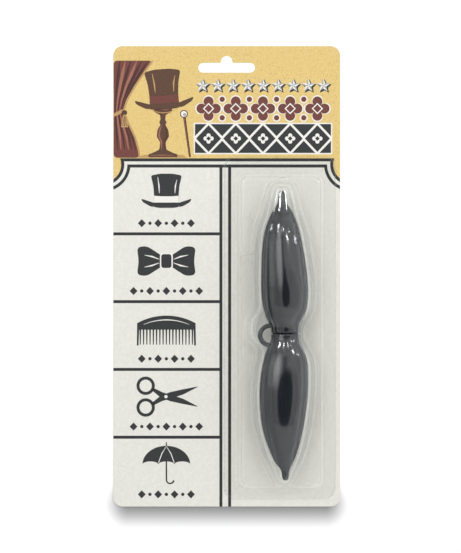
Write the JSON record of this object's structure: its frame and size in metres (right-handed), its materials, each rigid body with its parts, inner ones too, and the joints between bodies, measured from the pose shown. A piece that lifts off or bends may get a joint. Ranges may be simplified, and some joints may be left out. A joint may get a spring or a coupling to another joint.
{
  "type": "fake moustache on a blister card",
  "caption": "Bendable vinyl moustache: teardrop lobes joined at a narrow waist, with a nose loop, lying in a clear formed blister on a printed hang card.",
  "frame": {"origin": "middle of the card's back face, which lies on z = 0", "axes": "+Y along the card towards the hang slot, +Z out of the printed face, +X to the right of someone who looks at the printed face"},
  "size_m": [0.1272, 0.2584, 0.0223],
  "materials": {
    "paperboard": "coated white paperboard with a matt print",
    "clear_film": "clear thermoformed film",
    "vinyl": "smooth charcoal vinyl, soft gloss"
  },
  "bodies": {
    "root": {"card": "paperboard", "blister": "clear_film", "upper_lobe": "vinyl", "lower_lobe": "vinyl", "nose_loop": "vinyl"}
  },
  "joints": []
}
